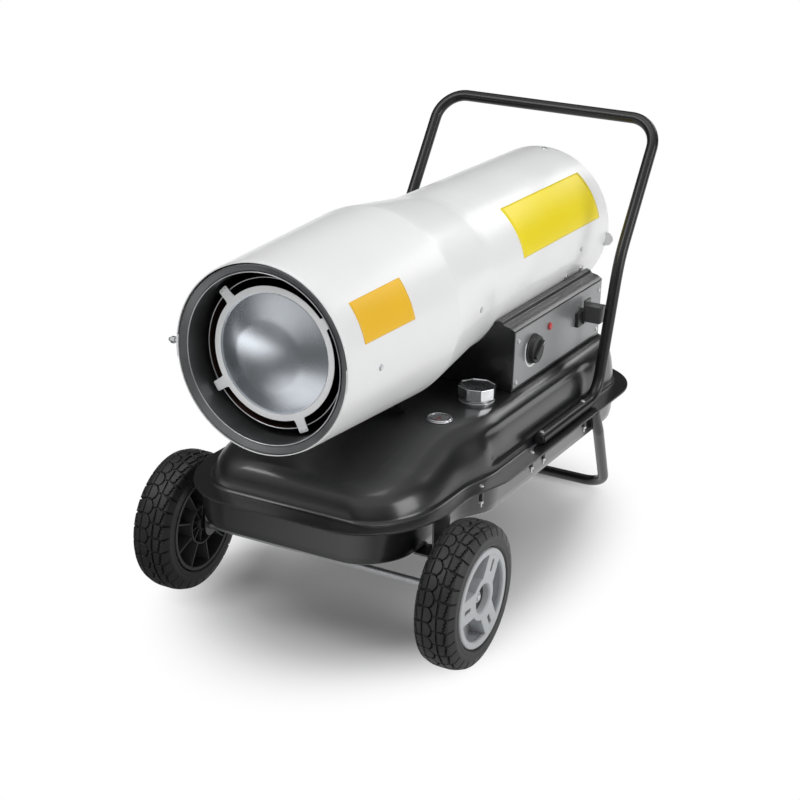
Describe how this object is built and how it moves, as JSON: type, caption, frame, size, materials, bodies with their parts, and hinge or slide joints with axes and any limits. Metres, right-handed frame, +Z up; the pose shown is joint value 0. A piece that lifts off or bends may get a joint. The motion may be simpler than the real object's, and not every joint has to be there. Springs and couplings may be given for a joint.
{
  "type": "forced air oil heater",
  "caption": "Portable direct-fired forced-air oil heater: white barrel with a stainless baffle on a black wheeled fuel tank, with a tube handle, rear leg and side control box.",
  "frame": {"origin": "middle of the footprint, on the floor", "axes": "+Y from the air outlet to the handle, +X towards the control panel's side, +Z up"},
  "size_m": [0.6184, 1.06, 0.768],
  "materials": {
    "white_paint": "glossy white powder coat",
    "black_paint": "semi-gloss black powder coat",
    "tyre_rubber": "black moulded rubber with a block tread",
    "gasket_rubber": "black soft rubber",
    "rim_plastic": "light grey moulded plastic",
    "zinc_steel": "bright zinc plating",
    "heat_steel": "dark heat-stained sheet steel",
    "pale_steel": "pale satin steel",
    "baffle_stainless": "polished stainless steel",
    "panel_grey": "grey satin panel paint",
    "cast_aluminium": "as-cast aluminium",
    "black_plastic": "black moulded plastic",
    "gauge_glass": "clear lens",
    "red_plastic": "red translucent plastic",
    "brass": "plain machined brass",
    "ceramic": "glazed white insulator",
    "copper": "drawn copper tube",
    "motor_paint": "dark blue-grey enamel",
    "board_green": "green circuit board",
    "float_foam": "fuel-proof black foam"
  },
  "bodies": {
    "heater": {"tank_upper_shell": "black_paint", "tank_lower_shell": "black_paint", "drain_plug": "zinc_steel", "filler_neck": "zinc_steel", "fuel_strainer": "brass", "gauge_body": "zinc_steel", "gauge_lens": "gauge_glass", "fuel_pickup": "brass", "axle": "zinc_steel", "axle_plate_left": "black_paint", "axle_plate_right": "black_paint", "axle_clip_left": "zinc_steel", "axle_clip_right": "zinc_steel", "handle": "black_paint", "rear_leg": "black_paint", "barrel_upper_shell": "white_paint", "barrel_lower_shell": "white_paint", "outlet_collar": "heat_steel", "outer_liner": "heat_steel", "combustion_chamber": "heat_steel", "baffle_ring": "pale_steel", "baffle_dome": "baffle_stainless", "barrel_saddle": "black_paint", "intake_guard": "black_paint", "burner_head": "cast_aluminium", "fuel_nozzle": "brass", "ignition_electrode_1": "ceramic", "ignition_electrode_2": "ceramic", "flame_photocell": "black_plastic", "motor": "motor_paint", "motor_bracket": "zinc_steel", "air_pump_body": "cast_aluminium", "air_pump_cover": "cast_aluminium", "pressure_gauge": "brass", "control_box": "black_paint", "control_panel": "panel_grey", "thermostat": "black_plastic", "indicator_lamp": "red_plastic", "panel_socket": "black_plastic", "panel_plug": "black_plastic", "ignition_transformer": "motor_paint", "control_board": "board_green", "fuel_line": "copper", "air_line": "copper"},
    "wheel_left": {"wheel_rim_left": "rim_plastic", "tyre_left": "tyre_rubber"},
    "wheel_right": {"wheel_rim_right": "rim_plastic", "tyre_right": "tyre_rubber"},
    "fan_rotor": {"motor_shaft": "zinc_steel", "fan": "cast_aluminium", "air_pump_rotor": "heat_steel"},
    "knob": {"thermostat_knob": "black_plastic"},
    "cap_lift": {"cap_gasket": "gasket_rubber"},
    "cap": {"filler_cap": "zinc_steel"},
    "float": {"float_arm": "float_foam"},
    "needle": {"gauge_needle": "red_plastic"}
  },
  "joints": [
    {"name": "wheel_left_spin", "type": "hinge", "parent": "heater", "child": "wheel_left", "pos_m": [-0.2732, -0.337, 0.125], "axis": [1, 0, 0], "continuous": true},
    {"name": "wheel_right_spin", "type": "hinge", "parent": "heater", "child": "wheel_right", "pos_m": [0.2732, -0.337, 0.125], "axis": [1, 0, 0], "continuous": true},
    {"name": "fan_spin", "type": "hinge", "parent": "heater", "child": "fan_rotor", "pos_m": [0, 0.153, 0.53], "axis": [0, 1, 0], "continuous": true},
    {"name": "knob_turn", "type": "hinge", "parent": "heater", "child": "knob", "pos_m": [0.176, 0.108, 0.403], "axis": [1, 0, 0], "range_deg": [0, 280]},
    {"name": "cap_lift_slide", "type": "slide", "parent": "heater", "child": "cap_lift", "axis": [0, 0, 1], "range_m": [0, 0.03]},
    {"name": "cap_turn", "type": "hinge", "parent": "cap_lift", "child": "cap", "pos_m": [0.136, -0.034, 0.355], "axis": [0, 0, 1], "range_deg": [0, 120]},
    {"name": "float_swing", "type": "hinge", "parent": "heater", "child": "float", "pos_m": [0.125, -0.156, 0.315], "axis": [1, 0, 0], "range_deg": [-51, 0]},
    {"name": "needle_turn", "type": "hinge", "parent": "heater", "child": "needle", "pos_m": [0.125, -0.156, 0.342], "axis": [0, 0, 1], "range_deg": [-77, 0]}
  ],
  "couplings": [
    {"joint": "needle_turn", "follows": "float_swing", "ratio": 1.5}
  ]
}
